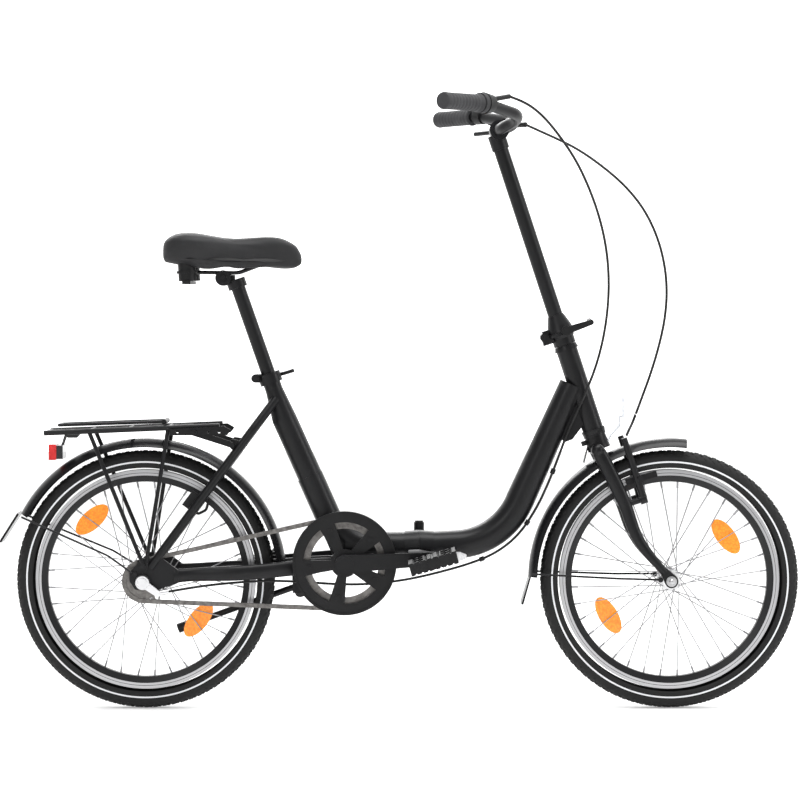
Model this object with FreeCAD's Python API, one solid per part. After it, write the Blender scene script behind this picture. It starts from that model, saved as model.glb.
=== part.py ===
import FreeCAD, Part
import math
import os

from FreeCAD import Vector as V

# A folding city bicycle with 20 inch wheels, in millimetres.
# +X points forward, +Y to the rider's left, +Z up. The origin is on the ground, midway along the
# bicycle. The drive side, with the chain, is on -Y.

# ---------------------------------------------------------------- driving dimensions
WHEEL_R = 250.0              # 47-406 tyre
TYRE_R = 23.5                # half the tyre's section
RIM_R = 210.0                # outer edge of the rim
RIM_INNER_R = 189.0
RIM_HALF = 12.5              # half the rim's width
REAR_X = -491.0
FRONT_X = 522.0
SPOKES = 36

REAR_AXLE = V(REAR_X, 0, WHEEL_R)
FRONT_AXLE = V(FRONT_X, 0, WHEEL_R)
BB = V(-105.5, 0, 285)       # bottom bracket
CHAINLINE = -45.0

PITCH = 12.7                 # half inch chain
RING_TEETH = 44
GUARD_ANGLES = [43 + 72 * k for k in range(5)]
SPROCKET_TEETH = 19
ROLLER_R = 3.85
CRANK = 170.0
CRANK_ANGLE = 3.5            # the right crank points forward and a little up
PEDAL_ANGLE = 16.0

HEAD_ANGLE = 71.7
HEAD_LOW = V(374, 0, 540)
HEAD_LENGTH = 162.0
HEAD_R = 20.5
STEER_UP = V(-math.cos(math.radians(HEAD_ANGLE)), 0, math.sin(math.radians(HEAD_ANGLE)))
STEER_BACK = V(-STEER_UP.z, 0, STEER_UP.x)

SEAT_ANGLE = 70.7
SEAT_TOP = V(-252.3, 0, 645)
SEAT_UP = V(-math.cos(math.radians(SEAT_ANGLE)), 0, math.sin(math.radians(SEAT_ANGLE)))
POST_R = 13.6
POST_INSERTED = 85.0
POST_EXPOSED = 192.0

HINGE_X = 38.0               # the plane where the frame's two halves meet
HINGE_Z = 314.0
HINGE_PIN = V(HINGE_X, 37, HINGE_Z)

STEM_PARTING = 198.0         # along the steering axis, above the head tube's lower end
STEM_PIN_BACK = 34.0
STAND_PIVOT = V(-196, 44, 233)

BAR_AT = 604.0
BAR_CENTRE_BACK = -8.0

X, Y, Z = V(1, 0, 0), V(0, 1, 0), V(0, 0, 1)
PARTS = {}


# ---------------------------------------------------------------- small tools
def steer(up, back=0.0, side=0.0):
    """A point given along the steering axis, behind it and to the left of it."""
    return HEAD_LOW + STEER_UP * up + STEER_BACK * back + Y * side


def seat(down):
    """A point on the seat tube's axis, so far below its top."""
    return SEAT_TOP - SEAT_UP * down


def rod(a, b, r, r_end=None):
    line = b - a
    if r_end is None or abs(r_end - r) < 1e-6:
        return Part.makeCylinder(r, line.Length, a, line)
    return Part.makeCone(r, r_end, line.Length, a, line)


def ring(a, b, r, bore):
    return rod(a, b, r).cut(rod(a - (b - a), b + (b - a), bore))


def rounded_path(points, radii):
    """Straight runs joined by tangent arcs. radii has one value for each inner point."""
    edges = []
    start = points[0]
    for before, corner, after, radius in zip(points, points[1:], points[2:], radii):
        way_in = (corner - before).normalize()
        way_out = (after - corner).normalize()
        half = way_in.getAngle(way_out) / 2
        reach = radius * math.tan(half)
        first = corner - way_in * reach
        last = corner + way_out * reach
        inward = (way_out - way_in).normalize()
        middle = corner + inward * (radius / math.cos(half) - radius)
        edges.append(Part.LineSegment(start, first).toShape())
        edges.append(Part.Arc(first, middle, last).toShape())
        start = last
    edges.append(Part.LineSegment(start, points[-1]).toShape())
    return Part.Wire(edges)


def sweep(path, *profiles):
    return path.makePipeShell(list(profiles), True, False)


def circle_wire(centre, normal, r):
    return Part.Wire(Part.Circle(centre, normal, r).toShape())


def tube(points, radii, r, wall=0.0):
    """A round tube along a bent path; wall 0 makes it solid."""
    path = rounded_path(points, radii)
    along = points[1] - points[0]
    body = sweep(path, circle_wire(points[0], along, r))
    if wall:
        body = body.cut(sweep(path, circle_wire(points[0], along, r - wall)))
    return body


def cord_tube(points, r):
    """A cable's tube: each arc is as large as the runs beside its corner allow."""
    radii = []
    for before, corner, after in zip(points, points[1:], points[2:]):
        turn = (corner - before).getAngle(after - corner)
        shorter = min((corner - before).Length, (after - corner).Length)
        radii.append(0.45 * shorter / math.tan(turn / 2))
    solid = tube(points, radii, r)
    path = rounded_path(points, radii)
    expected = math.pi * r * r * path.Length
    print("cord", "length", round(path.Length), "least radius", round(min(radii)),
          "volume ratio", round(solid.Volume / expected, 4))
    return solid


def ellipse_wire(centre, normal, half_side, half_tall):
    """An ellipse square to normal, half_side wide along Y and half_tall the other way."""
    normal = V(normal).normalize()
    side = (Y - normal * normal.dot(Y)).normalize()
    tall = normal.cross(side)
    if half_tall >= half_side:
        curve = Part.Ellipse(centre + tall * half_tall, centre + side * half_side, centre)
    else:
        curve = Part.Ellipse(centre + side * half_side, centre + tall * half_tall, centre)
    return Part.Wire(curve.toShape())


def loft(*wires):
    return Part.makeLoft(list(wires), True, False)


def polygon(points):
    return Part.Face(Part.makePolygon(points + [points[0]]))


def plate(points_xz, y_low, y_high, corner=0.0):
    """A flat plate whose outline is given in X and Z."""
    face = polygon([V(x, y_low, z) for x, z in points_xz])
    solid = face.extrude(V(0, y_high - y_low, 0))
    if corner:
        upright = [e for e in solid.Edges if abs(e.tangentAt(e.FirstParameter).y) > 0.99]
        solid = solid.makeFillet(corner, upright)
    return solid


def turned(points, centre):
    """A body of revolution about a line along Y through centre. Points are (radius, y)."""
    wire = Part.makePolygon([V(r, y, 0) for r, y in points + [points[0]]])
    solid = Part.Face(wire).revolve(V(0, 0, 0), Y, 360)
    solid.translate(centre)
    return solid


def block(centre, size, along=X, across=Y):
    """A box turned so that its first side lies along one direction and its second across."""
    along = V(along).normalize()
    across = V(across).normalize()
    up = along.cross(across)
    box = Part.makeBox(size[0], size[1], size[2], V(-size[0] / 2, -size[1] / 2, -size[2] / 2))
    turn = FreeCAD.Matrix(along.x, across.x, up.x, centre.x,
                          along.y, across.y, up.y, centre.y,
                          along.z, across.z, up.z, centre.z,
                          0, 0, 0, 1)
    return box.transformGeometry(turn)


def mirrored(shape):
    return shape.mirror(V(0, 0, 0), Y)


def fuse(*shapes):
    solid = shapes[0].multiFuse(list(shapes[1:])) if len(shapes) > 1 else shapes[0]
    return solid.removeSplitter()


def keep(name, *shapes):
    """Adds solids to a node. Each shape may hold one or more separate solids."""
    solids = PARTS.setdefault(name, [])
    for shape in shapes:
        solids += shape.Solids


# ---------------------------------------------------------------- rear half of the frame
def stadium(a, b, r_a, r_b, y_low, y_high):
    """A flat bar between two round ends of different size."""
    line = V(b.x - a.x, 0, b.z - a.z)
    lean = math.acos((r_a - r_b) / line.Length)
    tilt = math.atan2(line.z, line.x)
    corners = []
    for centre, r, side in ((a, r_a, 1), (b, r_b, 1), (b, r_b, -1), (a, r_a, -1)):
        angle = tilt + side * lean
        corners.append((centre.x + r * math.cos(angle), centre.z + r * math.sin(angle)))
    ends = [rod(V(c.x, y_low, c.z), V(c.x, y_high, c.z), r) for c, r in ((a, r_a), (b, r_b))]
    return fuse(plate(corners, y_low, y_high), *ends)


def oval_tube(stations):
    """A loft through ellipses: (centre, half the width along Y, half the height)."""
    centres = [s[0] for s in stations]
    wires = []
    for i, (centre, half_side, half_tall) in enumerate(stations):
        before = centres[max(i - 1, 0)]
        after = centres[min(i + 1, len(centres) - 1)]
        wires.append(ellipse_wire(centre, after - before, half_side, half_tall))
    return loft(*wires)


def chain_stay():
    return oval_tube([(V(-128, -24, 281), 8, 12),
                      (V(-170, -28, 277), 7, 14.5),
                      (V(-208, -35, 273.5), 7.5, 14.5),
                      (V(-250, -45, 270), 8.5, 14.5),
                      (V(-330, -55, 265.5), 9, 14.5),
                      (V(-432, -62, 260.6), 8, 14)])


def seat_stay():
    top = V(-238, -14, 599)
    knee = V(-283, -45, 539)
    foot = V(-478, -62.5, 277)
    return tube([top, knee, foot], [60], 8.5)


def dropout():
    outline = [(-424, 273), (-424, 248), (-462, 235), (-506, 235), (-517, 252), (-517, 268),
               (-500, 288), (-482, 291), (-462, 305), (-452, 294)]
    solid = plate(outline, -66, -60, 5)
    for x, z, r in ((REAR_X, WHEEL_R, 5.0), (-490.6, 279.9, 2.6), (-507, 265, 2.6)):
        solid = solid.cut(rod(V(x, -70, z), V(x, -55, z), r))
    return solid


def rack_tab():
    return plate([(-300, 520), (-296, 505), (-322, 503), (-330, 513), (-322, 523)], -48, -44, 2)


def hinge_half(side):
    """The welded end of one half of the frame: side is -1 on the rear half, 1 on the front."""
    face = HINGE_X + 0.2 * side
    end = rod(V(face, 0, HINGE_Z), V(face + 28 * side, 0, HINGE_Z), 31, 28.6)
    lug = Part.makeBox(22, 15, 18, V(face if side > 0 else face - 22, -40.5, HINGE_Z - 26))
    end = fuse(end, lug)
    relief_bands = [(-12, 12)] if side < 0 else [(-40, -11.7), (11.7, 44)]
    knuckle_bands = [(-34, -12), (12, 43)] if side < 0 else [(-11.7, 11.7)]
    for low, high in relief_bands:
        end = end.cut(rod(HINGE_PIN + Z * low, HINGE_PIN + Z * high, 10.8))
    for low, high in knuckle_bands:
        barrel = rod(HINGE_PIN + Z * low, HINGE_PIN + Z * high, 10)
        web_high = min(high, 24)
        web_x = face if side > 0 else face - 20
        web = Part.makeBox(20, 18, web_high - low, V(web_x, HINGE_PIN.y - 18, HINGE_Z + low))
        end = fuse(end, barrel, web)
    return end.cut(rod(HINGE_PIN - Z * 50, HINGE_PIN + Z * 60, 4.1))


def make_rear_frame():
    swage_top = seat(30)
    swage_low = seat(90)
    foot = V(-107, 0, 303)
    upper = rod(SEAT_TOP, swage_top, 16.8)
    swage = rod(swage_top, swage_low, 16.8, 23.75)
    knee = Part.makeSphere(23.75, swage_low)
    lower = rod(swage_low, foot, 23.75)
    bent = tube([V(-173.5, 0, 450), V(-112.3, 0, 313), V(-10, 0, 314)], [100], 25)
    stub = rod(V(-105, 0, 313), V(HINGE_X - 27, 0, HINGE_Z), 27)
    shell = rod(BB - Y * 34, BB + Y * 34, 21.5)
    sides = []
    for piece in (chain_stay(), seat_stay(), dropout(), rack_tab()):
        sides += [piece, mirrored(piece)]
    bridge = rod(V(-283, -45, 539), V(-283, 45, 539), 6)
    frame = fuse(upper, swage, knee, lower, bent, stub, shell, bridge, hinge_half(-1), *sides)
    frame = frame.cut(rod(BB - Y * 40, BB + Y * 40, 17.2))
    frame = frame.cut(rod(seat(-5), seat(190), POST_R + 0.05))
    slot = block(seat(18) - X * 17, (10, 2, 40), X, Y)
    keep("rear_frame", frame.cut(slot))


def make_hinge_pin():
    pin = rod(HINGE_PIN - Z * 38, HINGE_PIN + Z * 43, 4)
    heads = [rod(HINGE_PIN - Z * 38, HINGE_PIN - Z * 34, 7), rod(HINGE_PIN + Z * 43, HINGE_PIN + Z * 46, 8)]
    keep("hinge_pin", fuse(pin, *heads))


def make_bottom_bracket_cups():
    cups = []
    for side in (-1, 1):
        inner = rod(BB + Y * side * 16, BB + Y * side * 34, 17)
        flange = rod(BB + Y * side * 34, BB + Y * side * 37, 20)
        bore = rod(BB, BB + Y * side * 60, 8.8)
        cups.append(fuse(inner, flange).cut(bore))
    keep("bottom_bracket_cups", *cups)


def hexagon(centre, y_low, y_high, across_flats):
    r = across_flats / math.sqrt(3)
    corners = [(centre.x + r * math.cos(math.radians(60 * k)), centre.z + r * math.sin(math.radians(60 * k)))
               for k in range(6)]
    return plate(corners, y_low, y_high)


def axle_nut(centre, y_low, y_high):
    """A domed hexagon nut with its washer on the inner side."""
    outward = 1 if y_high > 0 else -1
    inner = y_low if outward > 0 else y_high
    nut = hexagon(centre, y_low, y_high, 15)
    washer = rod(V(centre.x, inner, centre.z), V(centre.x, inner + 1.6 * outward, centre.z), 10)
    outer = y_high if outward > 0 else y_low
    dome = Part.makeSphere(6.4, V(centre.x, outer - 1.5 * outward, centre.z))
    return fuse(nut, washer, dome)


def make_rear_axle():
    axle = rod(REAR_AXLE - Y * 66, REAR_AXLE + Y * 66, 4.8)
    left = axle_nut(REAR_AXLE, 66, 76)
    arm = stadium(V(-491, 0, 250), V(-420, 0, 247), 13, 8, 51, 54)
    arm = arm.cut(rod(REAR_AXLE + Y * 40, REAR_AXLE + Y * 60, 4.9))
    frame = PARTS["rear_frame"][0]
    arm = arm.cut(frame).Solids[0]
    keep("rear_axle", fuse(axle, left), arm)


def make_bell_crank():
    """The silver box over the rear axle's right end, with the lever that pulls the gears."""
    nut = hexagon(REAR_AXLE, -72, -66, 15)
    casing = rod(REAR_AXLE + V(0, -72, 0), REAR_AXLE + V(0, -84, 0), 15, 13)
    cap = rod(REAR_AXLE + V(0, -84, 0), REAR_AXLE + V(0, -88, 0), 9)
    lever = stadium(V(-491, 0, 250), V(-462, 0, 229), 8, 6, -82, -76)
    guide = rod(V(-466, -78, 229), V(-444, -66, 231.5), 5)
    keep("bell_crank", fuse(nut, casing, cap, lever, guide))


def mudguard(axle, start, end, crown_r=273.0):
    """Part of a ring with a thin arched section, from one angle to another, forward being 0."""
    half_width = 29.0
    depth = 16.0
    wall = 1.6
    def arched(crown, half, drop):
        return Part.Arc(V(crown - drop, -half, 0), V(crown, 0, 0), V(crown - drop, half, 0)).toShape()
    outer = arched(crown_r, half_width, depth)
    inner = arched(crown_r - wall, half_width - wall, depth - wall / 2)
    low = Part.LineSegment(outer.valueAt(outer.FirstParameter), inner.valueAt(inner.FirstParameter)).toShape()
    high = Part.LineSegment(outer.valueAt(outer.LastParameter), inner.valueAt(inner.LastParameter)).toShape()
    wire = Part.Wire(Part.__sortEdges__([outer, high, inner, low]))
    solid = Part.Face(wire).revolve(V(0, 0, 0), -Y, end - start)
    solid.rotate(V(0, 0, 0), Y, -start)
    solid.translate(axle)
    return solid


def make_rear_mudguard():
    guard = mudguard(REAR_AXLE, 2, 152)
    flap = plate([(-733, 377), (-736.5, 379.5), (-772, 324), (-768, 322)], -27, 27)
    keep("rear_mudguard", guard, flap.cut(guard))
    wires = []
    for side in (-1, 1):
        path = [V(-728, 31.5 * side, 372), V(-560, 54 * side, 300), V(-512, 68.6 * side, 268)]
        wires.append(tube(path, [40], 2))
        wires.append(rod(V(-507, 66.1 * side, 265), V(-507, 72 * side, 265), 5))
    keep("rear_mudguard", fuse(wires[0], wires[1]), fuse(wires[2], wires[3]))


def make_rack():
    rods = []
    for side in (-1, 1):
        rods.append(rod(V(-681, 52 * side, 535), V(-345, 52 * side, 549), 5))
        rods.append(rod(V(-676, 18 * side, 535.2), V(-400, 18 * side, 546.7), 3.5))
        rear = [V(-594.6, 52 * side, 537), V(-575, 57 * side, 490), V(-490.6, 70.5 * side, 284)]
        front = [V(-443, 52 * side, 544), V(-450, 57 * side, 500), V(-484, 70.5 * side, 290)]
        rods.append(tube(rear, [60], 4))
        rods.append(tube(front, [60], 4))
        inner, outer = sorted((66.1 * side, 70 * side))
        rods.append(plate([(-498, 276), (-483, 274), (-478, 296), (-494, 296)], inner, outer))
    for x in (-678, -594, -520, -443):
        z = 535 + (x + 681) * 14 / 336
        rods.append(rod(V(x, -52, z), V(x, 52, z), 4))
    deck = fuse(*rods)
    plates = []
    for side in (-1, 1):
        low, high = (-60.5, -57) if side < 0 else (57, 60.5)
        bar = plate([(-440, 531), (-330, 531), (-322, 541), (-336, 549), (-440, 543)], low, high, 2)
        for x in (-425, -395, -365, -345):
            bar = bar.cut(rod(V(x, low - 1, 538), V(x, high + 1, 538), 3))
        plates.append(bar)
        low, high = (-57, -53.5) if side < 0 else (53.5, 57)
        arm = stadium(V(-394, 0, 536), V(-322, 0, 513), 6, 6, low, high)
        inner = 48.1 * side
        spacer = rod(V(-322, inner, 513), V(-322, 53.5 * side, 513), 6)
        plates.append(fuse(arm.cut(deck), spacer))
    keep("rack", deck, *plates)
    bolts = []
    for side in (-1, 1):
        for x, z, out in ((-490.6, 279.9, 70.1), (-394, 536, 60.6), (-322, 513, 57.1)):
            bolts.append(rod(V(x, out * side, z), V(x, (out + 4.5) * side, z), 5.5))
    keep("rack", *bolts)


def make_rack_clip():
    """The sprung loop that presses luggage on the deck, and its coil round the cross bar."""
    loop = []
    for side in (-1, 1):
        path = [V(-452, 34 * side, 556), V(-560, 34 * side, 552.5), V(-655, 26 * side, 549)]
        loop.append(tube(path, [300], 3))
    ends = [rod(V(-655, -26, 549), V(-655, 26, 549), 3), rod(V(-452, -40, 556), V(-452, 40, 556), 5)]
    keep("rack_clip", fuse(*loop, *ends))


def make_tail_light():
    lens = Part.makeBox(14, 62, 30, V(-675, -31, 482))
    keep("tail_light", lens)
    housing = Part.makeBox(13, 58, 26, V(-661, -29, 484))
    hangers = [rod(V(-652, 12 * side, 508), V(-644, 12 * side, 531.5), 1.6) for side in (-1, 1)]
    wedge = plate([(-648, 531.5), (-616, 531.5), (-622, 524), (-640, 524)], -15, 15)
    keep("tail_light", fuse(housing, wedge, *hangers))


def make_kickstand():
    pivot = STAND_PIVOT
    folded = V(-0.94, 0.03, -0.34).normalize()
    standing = V(-0.10, 0.45, -0.887).normalize()
    axis = folded.cross(standing).normalize()
    block_low = Part.makeBox(22, 24, 38, V(-207, 2, 222))
    plate_top = Part.makeBox(22, 50, 8, V(-207, -25, 250))
    barrel = rod(pivot + axis * 7.4, pivot + axis * 26, 11)
    bracket = fuse(block_low, plate_top, barrel).cut(PARTS["rear_frame"][0])
    keep("kickstand_bracket", bracket)
    leg = rod(pivot + folded * 2, pivot + folded * 240, 6.2)
    shoe = rod(pivot + folded * 232, pivot + folded * 252, 9.5)
    boss = rod(pivot - axis * 8, pivot + axis * 7, 11)
    keep("kickstand_leg", fuse(leg, boss, shoe))


def make_seat_clamp():
    collar = ring(seat(-3), seat(17), 22, 16.85)
    collar = collar.cut(block(seat(7) - X * 18, (16, 4, 40), X, Y))
    lugs = []
    for side in (-1, 1):
        low, high = (-13, -2.5) if side < 0 else (2.5, 13)
        lug = stadium(seat(7) - X * 20, seat(7) - X * 28, 8, 8, low, high)
        lugs.append(lug.cut(rod(seat(-30), seat(40), 19)))
    clamp = fuse(collar, *lugs)
    bolt = seat(7) - X * 28
    clamp = clamp.cut(rod(bolt - Y * 30, bolt + Y * 30, 3.2))
    keep("seat_clamp", clamp)
    nut = rod(bolt - Y * 19, bolt - Y * 13.1, 7.5)
    keep("seat_clamp", fuse(rod(bolt - Y * 13.1, bolt + Y * 13.2, 2.9), nut))
    cam_at = bolt + Y * 19
    cam = rod(cam_at - SEAT_UP * 7, cam_at + SEAT_UP * 7, 5.4)
    path = [cam_at, cam_at + V(26, 12, 3), cam_at + V(54, 4, 9), cam_at + V(72, -16, 15)]
    handle = tube(path, [16, 24], 3.6)
    keep("seat_clamp_lever", fuse(cam, handle))


def make_ring_lock():
    body = block(V(-399, -36, 404), (34, 10, 22), V(0.6, 0, 0.8), Y)
    loop = tube([V(-392, -33, 392), V(-404, -33, 370), V(-372, -33, 386), V(-366, -33, 408)], [7, 10], 2.6)
    cylinder = rod(V(-386, -34, 412), V(-370, -34, 424), 6)
    keep("ring_lock", fuse(body, loop, cylinder))


# ---------------------------------------------------------------- seat post and saddle
def make_seatpost():
    keep("seatpost", rod(seat(POST_INSERTED), seat(-POST_EXPOSED), POST_R))


def make_saddle_clamp():
    """The round steel clamp behind the post's head, and the two rails it grips."""
    head = rod(V(-339, -27, 832), V(-339, 27, 832), 15)
    neck = ring(seat(-POST_EXPOSED + 14), seat(-POST_EXPOSED - 3), 18.5, POST_R + 0.02)
    bridge = Part.makeBox(22, 30, 16, V(-340, -15, 822)).cut(rod(seat(0), seat(-260), POST_R + 0.02))
    bolt = rod(V(-339, -36, 832), V(-339, 36, 832), 5)
    clamp = fuse(head, neck, bridge, bolt)
    rails = []
    for side in (-1, 1):
        path = [V(-412, 30 * side, 862), V(-396, 22 * side, 843), V(-310, 20.5 * side, 842),
                V(-262, 12 * side, 860), V(-232, 8 * side, 865)]
        rails.append(tube(path, [12, 40, 30], 3.5))
    clamp = clamp.cut(rails[0].fuse(rails[1]))
    keep("saddle_clamp", clamp)
    keep("saddle_clamp", *rails)


def saddle_section(x, half_width, low, crown, edge):
    """One closed outline across the saddle: flat below, rounded above."""
    points = [V(x, -half_width * 0.55, low), V(x, -half_width * 0.97, low + 0.3 * (edge - low)),
              V(x, -half_width, edge), V(x, -half_width * 0.8, crown - 0.24 * (crown - edge)),
              V(x, -half_width * 0.42, crown - 0.03 * (crown - edge)), V(x, 0, crown)]
    points += [V(x, -p.y, p.z) for p in reversed(points[:-1])]
    curve = Part.BSplineCurve()
    curve.interpolate(points, PeriodicFlag=True)
    return Part.Wire(curve.toShape())


def make_saddle():
    cover = loft(saddle_section(-457, 40, 884, 897, 891),
                 saddle_section(-443, 78, 878, 910, 896),
                 saddle_section(-410, 92, 877, 917, 900),
                 saddle_section(-365, 82, 875, 912, 896),
                 saddle_section(-315, 50, 872, 906, 890),
                 saddle_section(-250, 30, 872, 909, 889),
                 saddle_section(-200, 23, 870, 897, 882),
                 saddle_section(-184, 14, 871, 883, 877))
    keep("saddle_cover", cover)
    stations = [(-448, 64, 868, 876), (-400, 84, 862, 875), (-350, 70, 859, 873), (-300, 40, 859, 870),
                (-240, 25, 861, 869.5), (-196, 14, 862, 868)]
    wires = []
    for x, half_width, low, top in stations:
        middle = (low + top) / 2
        corners = [(-0.6, low), (-1, middle), (-0.85, top), (0.85, top), (1, middle), (0.6, low)]
        points = [V(x, share * half_width, z) for share, z in corners]
        wires.append(Part.makePolygon(points + points[:1]))
    shell = Part.makeLoft(wires, True, True)
    keep("saddle_base", shell)
    blocks = []
    for side in (-1, 1):
        post = rod(V(-405, 52 * side, 826.2), V(-407, 52 * side, 860.5), 17)
        rib = rod(V(-406, 52 * side, 841), V(-406.3, 52 * side, 846), 20)
        blocks.append(fuse(post, rib))
    yoke = Part.makeBox(16, 150, 6, V(-414, -75, 820))
    keep("saddle_base", *blocks, yoke)


# ---------------------------------------------------------------- wheels
def about_y(shape, centre=V(0, 0, 0)):
    """Turns a shape built round Z so that it stands round Y, and moves it."""
    turned_shape = shape.copy()
    turned_shape.rotate(V(0, 0, 0), X, 90)
    turned_shape.translate(centre)
    return turned_shape


def make_tyre(name, centre):
    middle = WHEEL_R - TYRE_R
    outer = Part.makeTorus(middle, TYRE_R)
    inner = Part.makeTorus(middle, TYRE_R - 3.5)
    opening = Part.makeCylinder(RIM_R + 2.5, 80, V(0, 0, -40))
    keep(name, about_y(outer.cut(inner).cut(opening), centre))


def make_rim(name, centre):
    edge = RIM_R + 2.3
    section = [(RIM_INNER_R, -7), (RIM_R - 9, -RIM_HALF), (edge, -RIM_HALF), (edge, -RIM_HALF + 2),
               (RIM_R - 7, -RIM_HALF + 2.4), (RIM_R - 7, RIM_HALF - 2.4), (edge, RIM_HALF - 2),
               (edge, RIM_HALF), (RIM_R - 9, RIM_HALF), (RIM_INNER_R, 7)]
    keep(name, turned(section, centre))


def polar(centre, r, degrees, y):
    angle = math.radians(degrees)
    return centre + V(r * math.cos(angle), y, r * math.sin(angle))


def make_spokes(name, centre, flange_r, flange_y):
    """Crossed spokes: every second pair leans the other way, and the sides alternate."""
    spokes, nipples = [], []
    step = 360 / SPOKES
    for k in range(SPOKES):
        side = -1 if k % 2 else 1
        lean = 1 if (k // 2) % 2 else -1
        angle = k * step + step / 2
        start = polar(centre, flange_r, angle + lean * 62, side * (flange_y + 3.1 * lean))
        end = polar(centre, RIM_INNER_R - 0.1, angle, side * 2.5)
        along = (end - start).normalize()
        spokes.append(rod(start, end - along * 12, 1.0))
        nipples.append(rod(end - along * 12, end - along * 0.5, 1.9))
    keep(name + "_spokes", *spokes)
    keep(name + "_spokes", *nipples)


def make_wheel_reflectors(name, centre, places):
    solids = []
    for r, degrees in places:
        curve = Part.Ellipse(V(0, 0, 0), 39.5, 18.5)
        solid = Part.Face(Part.Wire(curve.toShape())).extrude(V(0, 0, 9))
        solid.translate(V(0, 0, -4.5))
        solid.rotate(V(0, 0, 0), X, 90)
        solid.rotate(V(0, 0, 0), Y, 90 - degrees)
        solid.translate(polar(centre, r, degrees, 0))
        solids.append(solid)
    keep(name, *solids)


def make_rear_hub():
    section = [(5.2, -38), (20, -38), (20, -32), (24, -31), (36, -31), (36, -27), (29, -27), (26, -22),
               (26, 22), (29, 27), (36, 27), (36, 31), (29, 31), (24, 36), (24, 50), (5.2, 50)]
    keep("rear_hub", turned(section, REAR_AXLE))


def make_front_hub():
    half = [(9, -48), (9, -42), (14, -40), (14, -33), (21, -33), (21, -29), (15, -29), (12, -24)]
    section = [(5.2, -48)] + half + [(r, -y) for r, y in reversed(half)] + [(5.2, 48)]
    keep("front_hub", turned(section, FRONT_AXLE))


def make_front_axle():
    axle = rod(FRONT_AXLE - Y * 62, FRONT_AXLE + Y * 62, 4.8)
    keep("front_axle", fuse(axle, axle_nut(FRONT_AXLE, 56, 65), axle_nut(FRONT_AXLE, -65, -56)))


# ---------------------------------------------------------------- drive
def toothed_disc(centre, teeth, y_low, y_high, phase):
    """A wheel for half inch chain: round seats for the rollers with tapered teeth between."""
    pitch_r = PITCH / 2 / math.sin(math.pi / teeth)
    root = pitch_r - ROLLER_R - 0.5
    tip = pitch_r + 3.4
    points = []
    for k in range(teeth):
        angle = phase + 360 * (k + 0.5) / teeth
        width = 360 / teeth
        points += [polar(centre, root, angle - 0.24 * width, y_low),
                   polar(centre, tip, angle - 0.07 * width, y_low),
                   polar(centre, tip, angle + 0.07 * width, y_low),
                   polar(centre, root, angle + 0.24 * width, y_low)]
    return polygon(points).extrude(V(0, y_high - y_low, 0))


def pitch_radius(teeth):
    return PITCH / 2 / math.sin(math.pi / teeth)


def chain_path():
    """The closed line through the chain's pins: its length, and the point at each distance."""
    big, small = pitch_radius(RING_TEETH), pitch_radius(SPROCKET_TEETH)
    gap = V(BB.x - REAR_AXLE.x, 0, BB.z - REAR_AXLE.z)
    tilt = math.atan2(gap.z, gap.x)
    lean = math.acos((small - big) / gap.Length)
    upper = tilt + lean
    lower = tilt - lean
    straight = math.sqrt(gap.Length ** 2 - (big - small) ** 2)
    big_turn = big * 2 * lean
    small_turn = small * (2 * math.pi - 2 * lean)
    spans = [straight, big_turn, straight, small_turn]

    def at(s):
        s = s % sum(spans)
        top_rear = polar(REAR_AXLE, small, math.degrees(upper), 0)
        top_front = polar(BB, big, math.degrees(upper), 0)
        low_front = polar(BB, big, math.degrees(lower), 0)
        low_rear = polar(REAR_AXLE, small, math.degrees(lower), 0)
        if s < spans[0]:
            return top_rear + (top_front - top_rear) * (s / straight)
        s -= spans[0]
        if s < spans[1]:
            return polar(BB, big, math.degrees(upper - s / big), 0)
        s -= spans[1]
        if s < spans[2]:
            return low_front + (low_rear - low_front) * (s / straight)
        s -= spans[2]
        return polar(REAR_AXLE, small, math.degrees(lower - s / small), 0)
    return sum(spans), at, math.degrees(upper)


def make_chain():
    """Ninety-three links: pairs of inner and outer plates and one cranked half link."""
    length, at, start_angle = chain_path()
    count = round(length / PITCH)
    pins = [at(length * k / count) for k in range(count)]
    solids = []
    for k in range(count):
        a, b = pins[k] + Y * CHAINLINE, pins[(k + 1) % count] + Y * CHAINLINE
        outer = k % 2 == 0
        inner_face = 2.8 if outer else 1.6
        for side in (-1, 1):
            low, high = sorted((side * inner_face, side * (inner_face + 1.0)))
            solids.append(stadium(a, b, 4.1, 4.1, CHAINLINE + low, CHAINLINE + high))
    for pin in pins:
        solids.append(rod(pin + Y * (CHAINLINE - 1.55), pin + Y * (CHAINLINE + 1.55), ROLLER_R))
    print("chain links", count, "pitch", round(length / count, 3))
    keep("chain", *solids)


def make_sprocket():
    start_angle = chain_path()[2]
    disc = toothed_disc(REAR_AXLE, SPROCKET_TEETH, CHAINLINE - 1.1, CHAINLINE + 1.1, start_angle)
    carrier = rod(REAR_AXLE - Y * 52, REAR_AXLE - Y * 38.4, 21)
    shape = fuse(disc, carrier).cut(rod(REAR_AXLE - Y * 60, REAR_AXLE, 5.3))
    keep("sprocket", shape)


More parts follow.
